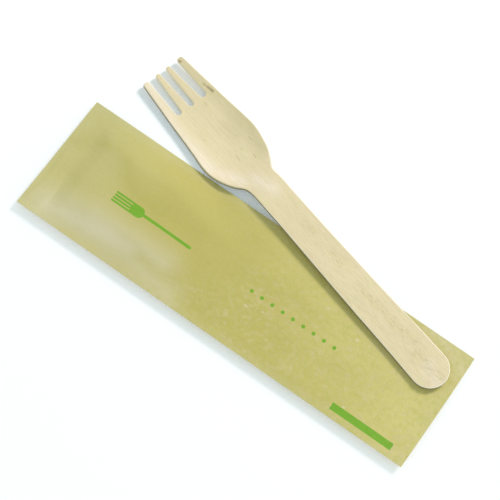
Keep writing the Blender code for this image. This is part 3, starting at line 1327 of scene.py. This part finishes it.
    def body(self) -> bpy.types.Mesh:
        """Gives the whole blank its thickness and its rounded edges, while it is still flat.

        Returns:
            The flat body's mesh.
        """
        half = self.blank()
        bm = bmesh.new()
        bm.from_mesh(half)
        bmesh.ops.remove_doubles(bm, verts=bm.verts, dist=TOUCH)
        bmesh.ops.dissolve_limit(bm, angle_limit=0.01, verts=[], edges=bm.edges)
        form = linked("form", as_mesh(bm, half))
        mirror = form.modifiers.new("other half", "MIRROR")
        mirror.use_axis = (False, True, False)
        mirror.use_clip = True
        mirror.merge_threshold = TOUCH
        solid = form.modifiers.new("veneer", "SOLIDIFY")
        solid.thickness = self.veneer * MM
        solid.offset = 0.0
        soft = form.modifiers.new("soft edges", "BEVEL")
        soft.width = self.edge_round * MM
        soft.segments = self.edge_segments
        soft.limit_method = "ANGLE"
        soft.angle_limit = SHARP
        soft.use_clamp_overlap = False
        depsgraph = bpy.context.evaluated_depsgraph_get()
        whole = bpy.data.meshes.new_from_object(form.evaluated_get(depsgraph))
        bpy.data.objects.remove(form)
        return whole

    def planes(self) -> Iterable[tuple[Vector, Vector]]:
        """Lists the planes that the blank is cut by before it is pressed.

        Yields:
            A point on each plane and the plane's direction.
        """
        s = self.handle_step
        while s < self.length:
            yield Vector((s, 0.0, 0.0)), Vector((1.0, 0.0, 0.0))
            s += self.step_along if s > self.fine_from else self.handle_step
        for k in range(-self.cuts_aside, self.cuts_aside + 1):
            yield Vector((0.0, (k + 0.5) * self.step_across, 0.0)), Vector((0.0, 1.0, 0.0))

    def rise(self, s: float, w: float) -> float:
        """Height of the pressed form's middle surface."""
        return along(self.dip, s) + along(self.cup, s) * w * w

    def press(self, bm: bmesh.types.BMesh) -> None:
        """Cuts the flat body into small faces and presses it into the bowl's form.

        Args:
            bm: the body's editable mesh.
        """
        for point, direction in self.planes():
            geometry = bm.verts[:] + bm.edges[:] + bm.faces[:]
            bmesh.ops.bisect_plane(bm, geom=geometry, plane_co=point * MM, plane_no=direction)
        for vert in bm.verts:
            s, w, off = vert.co / MM
            if s < self.pressed_from:
                continue
            lean = (self.rise(s + self.probe, w) - self.rise(s - self.probe, w)) / (2.0 * self.probe)
            tilt = 2.0 * along(self.cup, s) * w
            vert.co = (Vector((s, w, self.rise(s, w))) + Vector((-lean, -tilt, 1.0)).normalized() * off) * MM

    def waver(self, mesh: bpy.types.Mesh) -> None:
        """Gives the cut edges and the faces the slight unevenness of real veneer.

        Args:
            mesh: the pressed fork.
        """
        for vert in mesh.vertices:
            s, w = vert.co.x / MM, vert.co.y / MM
            side = self.waver_side if w > 0 else -self.waver_side
            drift = self.long_waver.at(s, side) + self.short_waver.at(s, side)
            shoulder = between(s, *self.shoulder_begins) * between(s, *self.shoulder_ends)
            vert.co.y += drift * ease(abs(w) / self.waver_whole) * MM
            vert.co.y += self.shoulder_set * shoulder * MM
            vert.co.y += self.end_set * between(s, *self.end_part) * MM
            vert.co.z += self.face_waver.at(s, w) * MM

    def mesh(self) -> bpy.types.Mesh:
        """Makes the whole fork.

        Returns:
            The mesh in the fork's own frame.
        """
        whole = self.body()
        bm = bmesh.new()
        bm.from_mesh(whole)
        self.press(bm)
        bmesh.ops.recalc_face_normals(bm, faces=bm.faces)
        self.waver(as_mesh(bm, whole))
        return whole

    def lay(self, piece: bpy.types.Object) -> None:
        """Lays the fork with its bowl on the table and its handle over the sleeve.

        Args:
            piece: the fork.
        """
        turn = Euler([math.radians(angle) for angle in (-self.roll, -self.pitch, self.yaw)]).to_matrix()
        low = min((turn @ v.co).z for v in piece.data.vertices)
        piece.rotation_euler = turn.to_euler()
        piece.location = (self.handle_end[0] * MM, self.handle_end[1] * MM, -low)
        bpy.context.view_layer.update()

    def build(self, material: bpy.types.Material) -> bpy.types.Object:
        """Makes the fork, in place of its CAD solid.

        Args:
            material: the wood.

        Returns:
            The piece.
        """
        piece = new_object("veneer_fork", self.mesh(), material)
        piece.data.name = "veneer_fork"
        even = piece.modifiers.new("even shading", "WEIGHTED_NORMAL")
        even.mode = "FACE_AREA_WITH_ANGLE"
        even.weight = 80
        self.lay(piece)
        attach(piece, "root")
        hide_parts("fork")
        LOG.info("fork: %d faces", len(piece.data.polygons))
        return piece


@dataclass
class Studio:
    """Floor, lights and camera."""

    floor_half: float = 2.5
    floor_level: float = -0.00005
    key_heading: tuple = (0.28, 0.96)
    key_height: float = 41.0
    key_distance: float = 3.6
    key_size: float = 1.02
    key_power: float = 77.5
    key_tint: tuple = (1.0, 0.93, 0.925)
    through_paper: float = 0.46
    dome: tuple = (0.885, 1.0, 0.935)
    dome_strength: float = 0.675
    eye: tuple = (0.081721, -0.233203, 0.705497)
    heading: float = 19.61
    tilt: float = 20.22
    roll: float = 15.873
    lens: float = 145.63
    sensor: float = 36.0
    nearest: float = 0.01

    def floor(self, material: bpy.types.Material) -> bpy.types.Object:
        """Makes the floor just under the object.

        Args:
            material: the floor's finish.

        Returns:
            The floor.
        """
        bm = bmesh.new()
        bmesh.ops.create_grid(bm, x_segments=1, y_segments=1, size=self.floor_half)
        made = new_object("floor", as_mesh(bm, bpy.data.meshes.new("floor")), material)
        made.location.z = self.floor_level
        return made

    def key(self, name: str, share: float) -> bpy.types.Object:
        """Adds a soft disk light above the far side of the sleeve.

        Args:
            name: the light's name.
            share: its part of the key's power.

        Returns:
            The light.
        """
        lamp = bpy.data.lights.new(name, "AREA")
        lamp.shape = "DISK"
        lamp.size = self.key_size
        lamp.energy = self.key_power * share
        lamp.color = self.key_tint
        made = linked(name, lamp)
        climb = math.radians(self.key_height)
        level = Vector(self.key_heading).normalized() * math.cos(climb)
        away = Vector((level.x, level.y, math.sin(climb)))
        made.location = away * self.key_distance
        made.rotation_euler = away.to_track_quat("Z", "Y").to_euler()
        return made

    def lights(self, thin: bpy.types.Object) -> None:
        """Adds the key light and an even dome.

        Args:
            thin: the paper piece, which lets a part of the key's light through to the floor.
        """
        self.key("key", 1.0 - self.through_paper)
        soft = self.key("key through paper", self.through_paper)
        passed = bpy.data.collections.new("thin paper")
        passed.objects.link(thin)
        passed.collection_objects[0].light_linking.link_state = "EXCLUDE"
        soft.light_linking.blocker_collection = passed
        world = bpy.data.worlds.new("dome")
        world.use_nodes = True
        sky = world.node_tree.nodes["Background"]
        sky.inputs["Color"].default_value = (*self.dome, 1.0)
        sky.inputs["Strength"].default_value = self.dome_strength
        bpy.context.scene.world = world

    def camera(self) -> bpy.types.Object:
        """Adds the camera at the photograph's viewing angle.

        Returns:
            The camera.
        """
        data = bpy.data.cameras.new("camera")
        data.lens = self.lens
        data.sensor_width = self.sensor
        data.clip_start = self.nearest
        made = linked("camera", data)
        aim = Matrix.Rotation(math.radians(self.heading), 4, "Z")
        aim = aim @ Matrix.Rotation(math.radians(self.tilt), 4, "X")
        aim = aim @ Matrix.Rotation(math.radians(self.roll), 4, "Z")
        made.matrix_world = Matrix.Translation(Vector(self.eye)) @ aim
        bpy.context.scene.camera = made
        return made


def main() -> None:
    """Builds the camera, the two pieces and the studio."""
    logging.basicConfig(level=logging.INFO, format="%(name)s: %(message)s")
    studio = Studio()
    studio.camera()
    shared = SharedEffects()
    paper = Sleeve().build(PaperFinish(shared).build())
    VeneerFork().build(BirchFinish(shared).build())
    studio.floor(FloorFinish(shared).build())
    studio.lights(paper)
    bpy.context.scene.view_settings.view_transform = "Standard"
    bpy.context.scene.view_settings.look = "None"


if __name__ == "__main__":
    main()
